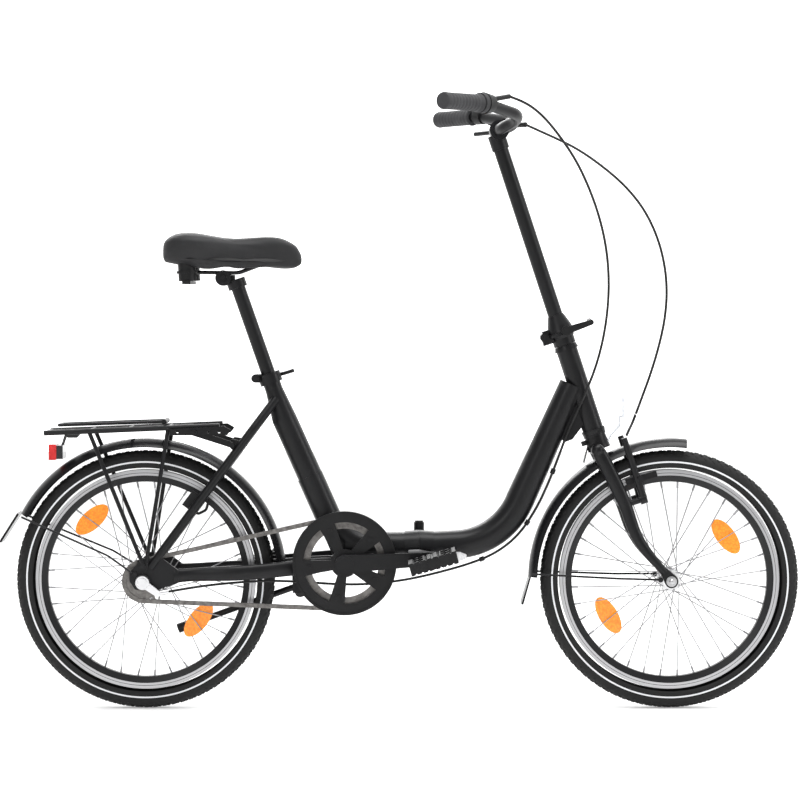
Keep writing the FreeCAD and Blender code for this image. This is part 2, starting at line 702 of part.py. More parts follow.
def make_chainring():
    length, at, start_angle = chain_path()
    spread = pitch_radius(RING_TEETH) - pitch_radius(SPROCKET_TEETH)
    straight = math.sqrt((BB - REAR_AXLE).Length ** 2 - spread ** 2)
    first_pin = math.ceil(straight / PITCH) * PITCH * length / (round(length / PITCH) * PITCH)
    seat_point = at(first_pin) - BB
    phase = math.degrees(math.atan2(seat_point.z, seat_point.x))
    disc = toothed_disc(BB, RING_TEETH, CHAINLINE - 1.1, CHAINLINE + 1.1, phase)
    disc = disc.cut(rod(BB - Y * 60, BB, 66))
    tabs = []
    for angle in GUARD_ANGLES:
        centre = polar(BB, 67, angle, 0)
        tabs.append(rod(centre + Y * (CHAINLINE - 1.1), centre + Y * (CHAINLINE + 1.1), 8))
        tabs.append(rod(centre + Y * (CHAINLINE - 6), centre + Y * (CHAINLINE - 1.1), 5.5))
    keep("chainring", fuse(disc, *tabs))


def make_chain_guard():
    """The black outer disc: a rim carried on five arms, with teardrop openings."""
    rim = rod(BB - Y * 56, BB - Y * 51, 100).cut(rod(BB - Y * 60, BB - Y * 40, 79))
    lip = ring(BB - Y * 58, BB - Y * 51, 100, 96.5)
    pieces = [rim, lip, rod(BB - Y * 57, BB - Y * 51, 27)]
    for angle in GUARD_ANGLES:
        wide = polar(BB, 76, angle, 0)
        narrow = polar(BB, 26, angle, 0)
        pieces.append(stadium(narrow, wide, 9, 15, BB.y - 56, BB.y - 51))
        pieces.append(rod(polar(BB, 67, angle, -58), polar(BB, 67, angle, -56), 5))
    guard = fuse(*pieces).cut(rod(BB - Y * 90, BB, 8.3))
    keep("chain_guard", guard)


def crank_end(side):
    sign = -1 if side == "right" else 1
    angle = math.radians(CRANK_ANGLE)
    return BB + V(math.cos(angle), 0, math.sin(angle)) * (-sign * CRANK)


def make_cranks():
    keep("crank_spindle", rod(BB - Y * 72, BB + Y * 72, 8))
    arms, axles = [], []
    for side, sign in (("right", -1), ("left", 1)):
        end = crank_end(side)
        low, high = sorted((sign * 63, sign * 76))
        arm = stadium(BB, end, 17, 12.5, low, high)
        boss_low = 57.2 if sign < 0 else 52
        arm = fuse(arm, rod(BB + Y * sign * boss_low, BB + Y * sign * 78, 17.5))
        arm = arm.cut(rod(BB - Y * 72, BB + Y * 72, 8.05))
        arm = arm.cut(rod(end - Y * 100, end + Y * 100, 6.5))
        arms.append(arm)
        axles.append(fuse(rod(end + Y * sign * 63, end + Y * sign * 172, 6.4),
                          rod(end + Y * sign * 76.2, end + Y * sign * 81, 9)))
    keep("cranks", *arms)
    keep("pedal_axles", *axles)


def make_pedal(side):
    sign = -1 if side == "right" else 1
    centre = crank_end(side)
    half_x, half_z = 46, 12
    body = Part.makeBox(2 * half_x, 90, 2 * half_z, V(-half_x, -45, -half_z))
    for x_low in (-36, 17):
        for y_low in (-37, 3):
            body = body.cut(Part.makeBox(19, 34, 60, V(x_low, y_low, -30)))
    notches = []
    for end in (-1, 1):
        for k in range(7):
            notch = Part.makeBox(4, 90, 4, V(-2, -45, -2))
            notch.rotate(V(0, 0, 0), Y, 45)
            notch.translate(V(-36 + 12 * k, 0, end * half_z))
            notches.append(notch)
    body = body.cut(notches[0].multiFuse(notches[1:]))
    barrel = rod(V(0, -46, 0), V(0, 46, 0), 11)
    body = fuse(body, barrel).cut(rod(V(0, -60, 0), V(0, 60, 0), 6.8))
    cap = rod(V(0, 44.5 * sign, 0), V(0, 47 * sign, 0), 11)
    body = fuse(body, cap)
    body.rotate(V(0, 0, 0), Y, -PEDAL_ANGLE)
    body.translate(centre + Y * sign * 129)
    keep("pedal_" + side, body)


# ---------------------------------------------------------------- front half of the frame
def make_front_frame():
    corner = V(196.6, 0, 321.1)
    along = V(0.4095, 0, 0.9123)
    bend_end = corner + along * 92
    head_meet = V(334, 0, 626)
    bent = tube([V(HINGE_X + 18, 0, 313.8), corner, bend_end], [140], 27.6)
    upper = rod(bend_end - along * 4, head_meet, 27.9, 25)
    head = rod(steer(0), steer(HEAD_LENGTH), HEAD_R)
    gusset = plate([(296, 545), (318, 515), (334, 521), (352, 545), (364, 572), (352, 610), (320, 600)],
                   -13, 13, 3)
    frame = fuse(bent, upper, head, gusset, hinge_half(1))
    frame = frame.cut(rod(steer(-20), steer(HEAD_LENGTH + 20), 17.2))
    keep("front_frame", frame)


def make_headset():
    low = fuse(rod(steer(-9), steer(0), 22, 23.5), rod(steer(0), steer(12), 17.1))
    high = fuse(rod(steer(HEAD_LENGTH), steer(HEAD_LENGTH + 9), 23.5, 21),
                rod(steer(150), steer(HEAD_LENGTH), 17.1))
    bore = rod(steer(-30), steer(200), 14.7)
    keep("headset_cups", low.cut(bore), high.cut(bore))


# ---------------------------------------------------------------- frame latch
def make_frame_latch():
    """The cast clasp that draws the two halves together, and its long pointed handle."""
    outline = [(16, 310), (36, 311), (60, 306.5), (90, 306), (116, 306.5), (130, 301),
               (126, 293), (108, 286.5), (84, 287.5), (52, 290), (30, 291), (19, 297)]
    handle = plate(outline, -52, -44.2, 3)
    keep("frame_latch", handle)


# ---------------------------------------------------------------- fork
def fork_blade():
    stations = [(381, 501, 40.5, 9.5, 13), (390, 485, 41, 10, 14), (400, 466, 41.5, 10, 14), (418, 430, 42.5, 9.5, 13.5),
                (435.7, 390.5, 44.5, 9, 12.5), (451.2, 346, 48, 8.5, 11.5), (465, 320, 50, 8, 10.5),
                (487, 292, 52, 7.5, 9), (509, 266, 53.3, 6, 7.5)]
    return oval_tube([(V(x, -y, z), half_side, half_deep) for x, z, y, half_side, half_deep in stations])


def make_fork():
    steerer = rod(steer(-20), steer(196), 14.3)
    crown = rod(steer(-40), steer(-9.3), 22.5, 20)
    crown_race = rod(steer(-13), steer(-9.3), 22)
    shoulder = rod(V(381, -41, 501), V(381, 41, 501), 12.8)
    pieces = [steerer, crown, crown_race, shoulder]
    for side in (-1, 1):
        sided = mirrored if side > 0 else (lambda shape: shape)
        tip = stadium(V(509, 0, 268), FRONT_AXLE, 8, 13, -55.8, -50.2)
        tip = tip.cut(rod(FRONT_AXLE - Y * 80, FRONT_AXLE, 4.9))
        boss = rod(steer(-155.6, -4, -41), steer(-155.6, -41, -41), 5.5)
        eyelet = rod(V(500, -59.4, 254), V(500, -50.2, 254), 5)
        corner = Part.makeSphere(12.9, V(381, -41, 501))
        pieces += [sided(shape) for shape in (fork_blade(), tip, boss, eyelet, corner)]
    keep("fork", fuse(*pieces))


def make_front_mudguard():
    guard = mudguard(FRONT_AXLE, 83, 179)
    flap = plate([(250.4, 255), (253.6, 255), (239, 202), (235, 203)], -27, 27)
    fork = PARTS["fork"][0]
    keep("front_mudguard", guard, flap.cut(guard), mudguard_bracket().cut(fork))
    wires = []
    for side in (-1, 1):
        path = [V(256, 31.5 * side, 262), V(420, 49 * side, 255), V(500, 62 * side, 254)]
        eye = rod(V(500, 59.6 * side, 254), V(500, 66 * side, 254), 5)
        wires.append(fuse(tube(path, [60], 2), eye).cut(fork))
    keep("front_mudguard", *wires)


def mudguard_bracket():
    """The strap that hangs the front mudguard from the crown bolt behind the crown."""
    upper = V(364, 0, 512)
    strap = block(V(361.5, 0, 497), (2.4, 16, 44), V(1, 0, -0.25), Y)
    bolt = rod(V(352, 0, 511), V(366, 0, 515.5), 5)
    return fuse(strap.cut(mudguard(FRONT_AXLE, 83, 179)), bolt, rod(upper, upper + X * 6, 4))


def make_front_reflector():
    bracket_path = [(400, 515), (407, 530), (423, 548), (424, 566)]
    outline = bracket_path + [(427, 566), (426.4, 546), (410, 528), (403, 514)]
    bracket = plate(outline, -8, 8)
    keep("front_reflector", bracket.cut(PARTS["fork"][0]))
    keep("front_reflector", block(V(430.3, 0, 584), (6, 52, 41), X, Y))


def make_v_brake():
    for side, name in ((-1, "right"), (1, "left")):
        low = steer(-155.6, -49, 41 * side)
        high = steer(-32, -49, 45 * side)
        boss = rod(steer(-155.6, -41.4, 41 * side), steer(-155.6, -55, 41 * side), 9)
        bar = rod(low, high, 7.5, 6)
        rim_side = V(466.6, 17.5 * side, 446.5)
        post = rod(V(466.6, 18 * side, 446.5), V(463, 52 * side, 446.5), 3.5)
        nut = rod(V(463, 47 * side, 446.5), V(463, 54 * side, 446.5), 6)
        arm = fuse(boss, bar, post, nut)
        arm = arm.cut(rod(steer(-155.6, -20, 41 * side), steer(-155.6, -70, 41 * side), 3.2))
        keep("brake_arm_" + name, arm)
        pad = block(rim_side, (62, 6.5, 11), V(0.962, 0, 0.271), Y)
        keep("brake_arm_" + name, pad.cut(arm))


# ---------------------------------------------------------------- stem and bars


def make_stem_base():
    lower = fuse(rod(steer(172), steer(186), 21.5), rod(steer(186), steer(STEM_PARTING - 0.3), 22, 27))
    lower = fuse(lower, rod(steer(192, 4, 0), steer(STEM_PARTING - 0.3, 4, 0), 27))
    web = block(steer(190, 28), (24, 24, 15), STEER_BACK, Y)
    pin_at = steer(STEM_PARTING, STEM_PIN_BACK)
    ears = []
    for side in (-1, 1):
        ears.append(rod(pin_at + Y * side * 8.4, pin_at + Y * side * 17, 8))
        ears.append(block(steer(191, 29, 12.7 * side), (20, 8.6, 14), STEER_BACK, Y))
    body = fuse(lower, web, *ears)
    body = body.cut(rod(pin_at - Y * 8.4, pin_at + Y * 8.4, 8.4))
    body = body.cut(rod(pin_at - Y * 30, pin_at + Y * 30, 3))
    body = body.cut(rod(steer(160), steer(196), 14.3))
    keep("stem_base", body)
    keep("stem_base", fuse(rod(pin_at - Y * 20, pin_at + Y * 20, 2.9), rod(pin_at - Y * 22, pin_at - Y * 17.1, 5.5)))


def make_handlepost():
    pin_at = steer(STEM_PARTING, STEM_PIN_BACK)
    flange = rod(steer(STEM_PARTING + 0.3), steer(STEM_PARTING + 14), 26, 22.5)
    flange = fuse(flange, rod(steer(STEM_PARTING + 14), steer(STEM_PARTING + 34), 22.5, 15.5))
    tongue = fuse(rod(pin_at - Y * 8, pin_at + Y * 8, 8),
                  block(steer(STEM_PARTING + 6, 26), (18, 16, 11), STEER_BACK, Y))
    post = rod(steer(STEM_PARTING + 10), steer(BAR_AT - 14), 14.3)
    body = fuse(flange, tongue, post)
    body = body.cut(rod(pin_at - Y * 30, pin_at + Y * 30, 3.1))
    keep("handlepost", body)


def bar_centre():
    return steer(BAR_AT, BAR_CENTRE_BACK)


def make_bar_clamp():
    centre = bar_centre()
    shell = rod(centre - Y * 24, centre + Y * 24, 19)
    neck = rod(steer(BAR_AT - 36), steer(BAR_AT - 6), 17)
    shell = fuse(shell, neck).cut(rod(centre - Y * 40, centre + Y * 40, 11.02))
    shell = shell.cut(rod(steer(BAR_AT - 60), steer(BAR_AT - 14), 14.32))
    gap = block(centre - STEER_BACK * 20, (30, 60, 2.4), STEER_BACK, Y)
    bolts = []
    for side in (-1, 1):
        at = centre - STEER_BACK * 15 + Y * 16 * side
        bolts.append(rod(at + STEER_UP * 12, at + STEER_UP * 17.5, 4.5))
    keep("bar_clamp", fuse(shell.cut(gap), *bolts))


def bar_points(side):
    centre = bar_centre()
    return [centre, centre + V(0, 42 * side, 0), V(234, 96 * side, 1137), V(157, 198 * side, 1155),
            V(80, 290 * side, 1154)]


def make_handlebar():
    halves = [tube(bar_points(side), [50, 48, 90], 11) for side in (-1, 1)]
    keep("handlebar", fuse(*halves))


def along_bar(side, distance):
    """A point on the straight end of the bar, so far in from its end, and the way outward."""
    inner, end = bar_points(side)[-2:]
    outward = (end - inner).normalize()
    return end - outward * distance, outward


def make_grips():
    grips = []
    for side in (-1, 1):
        inner, outward = along_bar(side, 104)
        end, outward = along_bar(side, -3)
        grip = fuse(rod(inner, end, 15.5), rod(inner, inner + outward * 6, 17.5))
        hollow_end, outward = along_bar(side, 0)
        grips.append(grip.cut(rod(inner - outward * 5, hollow_end, 11.02)))
    keep("grips", *grips)


def make_shifter():
    twist = ring(along_bar(-1, 117)[0], along_bar(-1, 106)[0], 19, 11.3)
    keep("shifter_ring", twist)
    inner, outward = along_bar(-1, 117.6)
    casing = rod(inner, inner - outward * 22, 20.5, 17)
    barrel = rod(inner - outward * 12 + V(8, 8, 8), V(206, -138, 1172), 4.6)
    keep("shifter_body", fuse(casing, barrel).cut(PARTS["handlebar"][0]))


def make_brake_lever():
    at, outward = along_bar(1, 118)
    clamp = ring(at, at - outward * 18, 16, 11.02)
    mid = at - outward * 9
    arm = rod(mid + V(10, 7, -6), mid + V(38, -4, -20), 7)
    perch = fuse(clamp, arm)
    barrel = rod(mid + V(34, -8, -20), V(248, 112, 1134), 5)
    keep("brake_perch", fuse(perch, barrel).cut(PARTS["handlebar"][0]))
    pivot = mid + V(36, 4, -20)
    blade = tube([pivot + V(6, 10, -2), pivot + V(2, 34, -8), pivot + V(-44, 92, -10)], [22], 4.5)
    hub = rod(pivot + V(4, 9, -8), pivot + V(4, 9, 6), 6)
    keep("brake_lever", fuse(blade, hub))


def make_stem_latch():
    """The cranked lever on the right of the stem whose eccentric draws the two halves shut."""
    pivot = steer(STEM_PARTING, -9, -33)
    eye = rod(pivot - Y * 5, pivot + Y * 4, 9)
    tip = V(368, -36, 747)
    arm = stadium(pivot, tip, 7.5, 5, -37, -31)
    paddle = rod(V(366, -37, 746), V(366, -8, 750), 5)
    keep("stem_latch", fuse(eye, arm, paddle))


# ---------------------------------------------------------------- cables
BRAKE_ROUTE = [(248, 112, 1134), (294, 92, 1112), (345, 68, 1086), (393, 47, 1051), (437, 31, 1012),
               (472, 19, 968), (497, 11, 917), (512, 5, 862), (517, 0, 806), (512, -4, 750),
               (499, -7, 694), (483, -10, 643), (467, -11, 600), (456, -12, 570)]
SHIFT_ROUTE = [(206, -138, 1172), (233, -128, 1164), (266, -116, 1142), (297, -104, 1108),
               (334, -90, 1057), (362, -78, 1000), (383, -67, 942), (396, -58, 884), (401, -50, 826),
               (399, -43, 770), (391, -37, 714), (377, -33, 660), (358, -29, 612), (338, -24, 566),
               (320, -16, 524), (306, -9, 484), (287, -6, 434), (264, -5, 385), (230, -5, 334),
               (185, -5, 299), (134, -5, 279), (80, -6, 264), (30, -8, 252), (-22, -10, 244),
               (-72, -12, 240), (-122, -16, 241), (-170, -24, 245), (-215, -36, 249), (-262, -45, 250.5),
               (-310, -50, 248), (-358, -55, 244), (-404, -60, 238), (-444, -66, 231.5)]
CABLE_R = 2.5
CABLE_GAP = 0.3
CLIP_POINTS = (15, 17, 19)


def open_cable_seats():
    """Bores the piece at each end of a cable, so that the housing sits in it."""
    for node, route, end in (("shifter_body", SHIFT_ROUTE, 0), ("bell_crank", SHIFT_ROUTE, -1),
                             ("brake_perch", BRAKE_ROUTE, 0), ("brake_arm_right", BRAKE_ROUTE, -1)):
        last, before = V(*route[end]), V(*route[1 if end == 0 else -2])
        outward = (last - before).normalize()
        hole = rod(last - outward * 12, last + outward * 1.5, CABLE_R + CABLE_GAP)
        PARTS[node] = [piece for solid in PARTS[node] for piece in solid.cut(hole).Solids]


def make_cable_clips():
    """Rings that hold the shift cable under the front tube."""
    clips = []
    for k in CLIP_POINTS:
        here, ahead = V(*SHIFT_ROUTE[k]), V(*SHIFT_ROUTE[k + 1])
        along = (ahead - here).normalize()
        middle = here * 0.5 + ahead * 0.5
        clip = ring(middle - along * 5, middle + along * 5, 4.6, CABLE_R + CABLE_GAP)
        clips.append(clip.cut(PARTS["front_frame"][0]))
    keep("cable_clips", *clips)


def make_noodle():
    """The bent steel tube that leads the brake cable to its arms."""
    top = V(*BRAKE_ROUTE[-1])
    noodle = tube([top, V(449, -16, 553), V(441, -34, 540), V(436, -40, 530)], [14, 8], 2.6)
    keep("brake_arm_right", noodle.cut(rod(top - Z * 3, top + Z * 4, CABLE_R + 0.4)))


def make_cables():
    keep("brake_cable", cord_tube([V(*p) for p in BRAKE_ROUTE], CABLE_R))
    keep("shift_cable", cord_tube([V(*p) for p in SHIFT_ROUTE], CABLE_R))
    open_cable_seats()
    make_cable_clips()
    make_noodle()


# ---------------------------------------------------------------- everything
def make_all():
    make_rear_frame()
    make_hinge_pin()
    make_bottom_bracket_cups()
    make_rear_axle()
    make_bell_crank()
    make_rear_mudguard()
    make_rack()
    make_rack_clip()
    make_tail_light()
    make_kickstand()
    make_seat_clamp()
    make_ring_lock()
    make_seatpost()
    make_saddle_clamp()
    make_saddle()
    make_rear_hub()
    make_front_hub()
    make_front_axle()
    for name, centre, flange_r, flange_y in (("rear", REAR_AXLE, 33, 29), ("front", FRONT_AXLE, 18, 31)):
        make_tyre(name + "_tyre", centre)
        make_rim(name + "_rim", centre)
        make_spokes(name, centre, flange_r, flange_y)
    make_wheel_reflectors("rear_wheel_reflectors", REAR_AXLE, [(155, 132), (129, -38)])
    make_wheel_reflectors("front_wheel_reflectors", FRONT_AXLE, [(137, 37), (137, 211)])
    make_sprocket()
    make_chain()
    make_chainring()
    make_chain_guard()
    make_cranks()
    make_pedal("right")
    make_pedal("left")
    make_front_frame()
    make_headset()
    make_frame_latch()
    make_fork()
    make_front_mudguard()
    make_front_reflector()
    make_v_brake()
    make_stem_base()
    make_handlepost()
    make_bar_clamp()
    make_handlebar()
    make_grips()
    make_shifter()
    make_brake_lever()
    make_stem_latch()
    make_cables()


def export():
    os.makedirs("parts", exist_ok=True)
    for old in os.listdir("parts"):
        if old.endswith(".step") and old[:-5] not in PARTS:
            os.remove(os.path.join("parts", old))
    for name, solids in PARTS.items():
        shape = solids[0] if len(solids) == 1 else Part.makeCompound(solids)
        shape.exportStep("parts/" + name + ".step")
        if not shape.isValid():
            print("NOT VALID", name)
    print("nodes", len(PARTS))


make_all()
export()
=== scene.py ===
import bpy
import bmesh
import math
from mathutils import Matrix, Vector


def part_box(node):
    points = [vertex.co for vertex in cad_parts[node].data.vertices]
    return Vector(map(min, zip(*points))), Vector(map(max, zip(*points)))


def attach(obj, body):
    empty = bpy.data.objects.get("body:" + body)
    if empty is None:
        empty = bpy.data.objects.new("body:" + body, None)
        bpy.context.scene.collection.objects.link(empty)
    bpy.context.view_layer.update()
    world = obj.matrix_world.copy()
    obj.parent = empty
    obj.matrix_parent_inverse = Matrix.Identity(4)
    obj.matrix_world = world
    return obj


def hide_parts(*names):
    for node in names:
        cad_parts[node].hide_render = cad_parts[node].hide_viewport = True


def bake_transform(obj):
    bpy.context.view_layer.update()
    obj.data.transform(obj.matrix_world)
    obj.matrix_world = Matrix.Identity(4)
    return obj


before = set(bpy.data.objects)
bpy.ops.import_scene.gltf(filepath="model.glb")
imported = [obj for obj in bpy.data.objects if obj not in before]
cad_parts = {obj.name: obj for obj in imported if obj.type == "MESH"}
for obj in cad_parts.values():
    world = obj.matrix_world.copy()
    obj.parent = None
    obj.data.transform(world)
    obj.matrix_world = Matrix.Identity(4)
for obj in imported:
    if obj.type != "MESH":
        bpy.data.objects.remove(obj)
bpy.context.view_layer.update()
bpy.ops.object.select_all(action="DESELECT")


# Camera. A long lens at a rider's chest height, square on to the chain side, tipped down a little.
camera_data = bpy.data.cameras.new("camera")
camera = bpy.data.objects.new("camera", camera_data)
bpy.context.collection.objects.link(camera)
camera_place = Vector((0.0, -5.5, 0.80))
camera_target = Vector((0.001, 0.0, 0.5965))
camera.location = camera_place
camera.rotation_euler = (camera_target - camera_place).to_track_quat("-Z", "Y").to_euler()
camera_data.lens = 36 * 5.503 / 1.5464
camera_data.sensor_width = 36
bpy.context.scene.camera = camera


# Studio. White paper runs along the floor and up behind, lit evenly; the room in front is dimmer, so
# that black paint keeps dark sides with soft bright edges from the lamps.
bpy.context.scene.view_settings.view_transform = "Standard"
paper_white, paper_glow, room_light = (0.88, 0.88, 0.88, 1), 0.22, 0.42
for name, place, tilt, glow in (("floor", (0, 0, 0), 0, paper_glow), ("backdrop", (0, 9, 0), math.pi / 2, 1.05)):
    bpy.ops.mesh.primitive_plane_add(size=60, location=place, rotation=(tilt, 0, 0))
    sheet = bpy.context.object
    sheet.name = name
    paper = bpy.data.materials.new(name + "_paper")
    paper.use_nodes = True
    paper_shader = paper.node_tree.nodes["Principled BSDF"]
    paper_shader.inputs["Base Color"].default_value = paper_white
    paper_shader.inputs["Roughness"].default_value = 0.9
    paper_shader.inputs["Specular IOR Level"].default_value = 0.1
    paper_shader.inputs["Emission Color"].default_value = (1, 1, 1, 1)
    paper_shader.inputs["Emission Strength"].default_value = glow
    sheet.data.materials.append(paper)
world = bpy.data.worlds.new("studio")
bpy.context.scene.world = world
world.use_nodes = True
world.node_tree.nodes["Background"].inputs["Color"].default_value = (1, 1, 1, 1)
world.node_tree.nodes["Background"].inputs["Strength"].default_value = room_light
for name, place, size, power in (("lamp_top", (0.4, -0.6, 3.6), (3.2, 1.6), 110),
                                 ("lamp_front", (-1.8, -3.6, 2.2), (1.2, 1.6), 26),
                                 ("lamp_side", (3.2, -1.2, 1.8), (0.8, 1.8), 30),
                                 ("lamp_back", (-0.5, 3.2, 2.6), (2.6, 1.2), 60)):
    lamp_data = bpy.data.lights.new(name, "AREA")
    lamp_data.shape = "RECTANGLE"
    lamp_data.size, lamp_data.size_y = size
    lamp_data.energy = power
    lamp = bpy.data.objects.new(name, lamp_data)
    bpy.context.collection.objects.link(lamp)
    lamp.location = place
    lamp.rotation_euler = (Vector((0, 0, 0.5)) - Vector(place)).to_track_quat("-Z", "Y").to_euler()


# Black powder coat. The frame, fork, bars and rack are steel tube, blasted and baked with satin
# black powder, which leaves a very fine orange peel and a little dust in the corners.
def new_finish(name, color, roughness, metallic=0.0):
    """A plain finish whose colour, roughness and relief the caller then varies."""
    finish = bpy.data.materials.new(name)
    finish.use_nodes = True
    shader = finish.node_tree.nodes["Principled BSDF"]
    shader.inputs["Base Color"].default_value = (*color, 1)
    shader.inputs["Roughness"].default_value = roughness
    shader.inputs["Metallic"].default_value = metallic
    shader.inputs["Specular IOR Level"].default_value = 0.25
    return finish, shader


def grain(finish, scale, strength, distance, detail=4.0):
    """Fine relief from noise in the piece's own space."""
    nodes, links = finish.node_tree.nodes, finish.node_tree.links
    place = nodes.new("ShaderNodeTexCoord")
    noise = nodes.new("ShaderNodeTexNoise")
    noise.inputs["Scale"].default_value = scale
    noise.inputs["Detail"].default_value = detail
    bump = nodes.new("ShaderNodeBump")
    bump.inputs["Strength"].default_value = strength
    bump.inputs["Distance"].default_value = distance
    links.new(place.outputs["Object"], noise.inputs["Vector"])
    links.new(noise.outputs["Fac"], bump.inputs["Height"])
    links.new(bump.outputs["Normal"], nodes["Principled BSDF"].inputs["Normal"])
    return noise


def mottle(finish, dark, light, scale, low_rough, high_rough):
    """Slow change of colour and gloss over the surface, as handling and dust leave it."""
    nodes, links = finish.node_tree.nodes, finish.node_tree.links
    place = nodes.new("ShaderNodeTexCoord")
    noise = nodes.new("ShaderNodeTexNoise")
    noise.inputs["Scale"].default_value = scale
    noise.inputs["Detail"].default_value = 6
    ramp = nodes.new("ShaderNodeValToRGB")
    ramp.color_ramp.elements[0].position = 0.3
    ramp.color_ramp.elements[1].position = 0.7
    ramp.color_ramp.elements[0].color = (*dark, 1)
    ramp.color_ramp.elements[1].color = (*light, 1)
    gloss = nodes.new("ShaderNodeMapRange")
    gloss.inputs["To Min"].default_value = low_rough
    gloss.inputs["To Max"].default_value = high_rough
    shader = nodes["Principled BSDF"]
    links.new(place.outputs["Object"], noise.inputs["Vector"])
    links.new(noise.outputs["Fac"], ramp.inputs["Fac"])
    links.new(ramp.outputs["Color"], shader.inputs["Base Color"])
    links.new(noise.outputs["Fac"], gloss.inputs["Value"])
    links.new(gloss.outputs["Result"], shader.inputs["Roughness"])


def dress(finish, *nodes):
    """Gives CAD nodes a finish."""
    for node in nodes:
        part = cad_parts[node]
        part.data.materials.clear()
        part.data.materials.append(finish)


powder_coat, powder_shader = new_finish("black_powder_coat", (0.013, 0.013, 0.015), 0.34)
mottle(powder_coat, (0.0045, 0.0045, 0.005), (0.008, 0.008, 0.009), 9, 0.30, 0.42)
grain(powder_coat, 900, 0.12, 0.0004)
dress(powder_coat, "rear_frame", "front_frame", "hinge_pin", "fork", "stem_base", "handlepost", "headset_cups",
      "handlebar", "bar_clamp", "rack", "rack_clip", "kickstand_bracket", "kickstand_leg", "seat_clamp",
      "seatpost", "saddle_clamp", "cranks", "brake_arm_right", "brake_arm_left", "brake_lever")

# Moulded black plastic: chain disc, pedals, levers, lock and cable clips, fine spark texture.
moulded_plastic, moulded_shader = new_finish("moulded_black_plastic", (0.014, 0.014, 0.015), 0.5)
mottle(moulded_plastic, (0.005, 0.005, 0.0055), (0.010, 0.010, 0.0105), 14, 0.40, 0.56)
grain(moulded_plastic, 1500, 0.25, 0.0003)
dress(moulded_plastic, "chain_guard", "pedal_right", "pedal_left", "ring_lock", "cable_clips", "saddle_base",
      "shifter_body", "brake_perch", "stem_latch", "seat_clamp_lever")

# Mudguards: glossy black strip with a rubber flap, and bright wire stays.
guard_black, guard_shader = new_finish("mudguard_black", (0.012, 0.012, 0.014), 0.25)
mottle(guard_black, (0.005, 0.005, 0.006), (0.009, 0.009, 0.010), 6, 0.20, 0.34)
grain(guard_black, 300, 0.05, 0.0003)
dress(guard_black, "rear_mudguard", "front_mudguard")

# Bright aluminium castings and turned parts.
bright_alloy, alloy_shader = new_finish("bright_aluminium", (0.78, 0.78, 0.79), 0.28, 1.0)
mottle(bright_alloy, (0.66, 0.66, 0.67), (0.84, 0.84, 0.85), 22, 0.20, 0.36)
grain(bright_alloy, 700, 0.12, 0.0003)
dress(bright_alloy, "frame_latch", "bell_crank", "rear_hub", "front_hub")

# Zinc plated steel: axles, nuts, clamp and rails.
plated_steel, steel_shader = new_finish("plated_steel", (0.55, 0.55, 0.56), 0.32, 1.0)
mottle(plated_steel, (0.42, 0.42, 0.43), (0.62, 0.62, 0.63), 30, 0.24, 0.42)
grain(plated_steel, 1100, 0.15, 0.0002)
dress(plated_steel, "rear_axle", "front_axle", "bottom_bracket_cups", "crank_spindle", "pedal_axles")

# Oiled chain steel, brown and dull between the plates.
chain_steel, chain_shader = new_finish("oiled_chain_steel", (0.20, 0.19, 0.17), 0.42, 1.0)
mottle(chain_steel, (0.11, 0.105, 0.10), (0.24, 0.23, 0.22), 120, 0.32, 0.55)
grain(chain_steel, 1600, 0.2, 0.0002)
dress(chain_steel, "chain", "sprocket", "chainring")

# Stainless spokes and nickel nipples.
spoke_steel, spoke_shader = new_finish("stainless_spoke", (0.30, 0.30, 0.31), 0.30, 1.0)
mottle(spoke_steel, (0.24, 0.24, 0.25), (0.36, 0.36, 0.37), 60, 0.24, 0.36)
dress(spoke_steel, "rear_spokes", "front_spokes")


def band_by_radius(finish, centre, bands):
    """Colours and gloss by distance from an axle: bands are (radius in metres, colour, roughness, metal)."""
    nodes, links = finish.node_tree.nodes, finish.node_tree.links
    place = nodes.new("ShaderNodeTexCoord")
    flat = nodes.new("ShaderNodeVectorMath")
    flat.operation = "MULTIPLY"
    flat.inputs[1].default_value = (1, 0, 1)
    middle = nodes.new("ShaderNodeVectorMath")
    middle.operation = "SUBTRACT"
    middle.inputs[1].default_value = (centre[0], 0, centre[2])
    length = nodes.new("ShaderNodeVectorMath")
    length.operation = "LENGTH"
    spread = nodes.new("ShaderNodeMapRange")
    spread.inputs["From Min"].default_value = 0.18
    spread.inputs["From Max"].default_value = 0.26
    colour = nodes.new("ShaderNodeValToRGB")
    gloss = nodes.new("ShaderNodeValToRGB")
    metal = nodes.new("ShaderNodeValToRGB")
    for ramp in (colour, gloss, metal):
        ramp.color_ramp.interpolation = "CONSTANT"
    for index, (radius, shade, rough, metallic) in enumerate(bands):
        at = (radius - 0.18) / 0.08
        for ramp, value in ((colour, (*shade, 1)), (gloss, (rough,) * 3 + (1,)), (metal, (metallic,) * 3 + (1,))):
            stops = ramp.color_ramp.elements
            stop = stops[index] if index < 2 else stops.new(at)
            stop.position = at
            stop.color = value
    shader = nodes["Principled BSDF"]
    links.new(place.outputs["Object"], flat.inputs[0])
    links.new(flat.outputs[0], middle.inputs[0])
    links.new(middle.outputs[0], length.inputs[0])
    links.new(length.outputs["Value"], spread.inputs["Value"])
    for ramp, socket in ((colour, "Base Color"), (gloss, "Roughness"), (metal, "Metallic")):
        links.new(spread.outputs["Result"], ramp.inputs["Fac"])
        links.new(ramp.outputs["Color"], shader.inputs[socket])


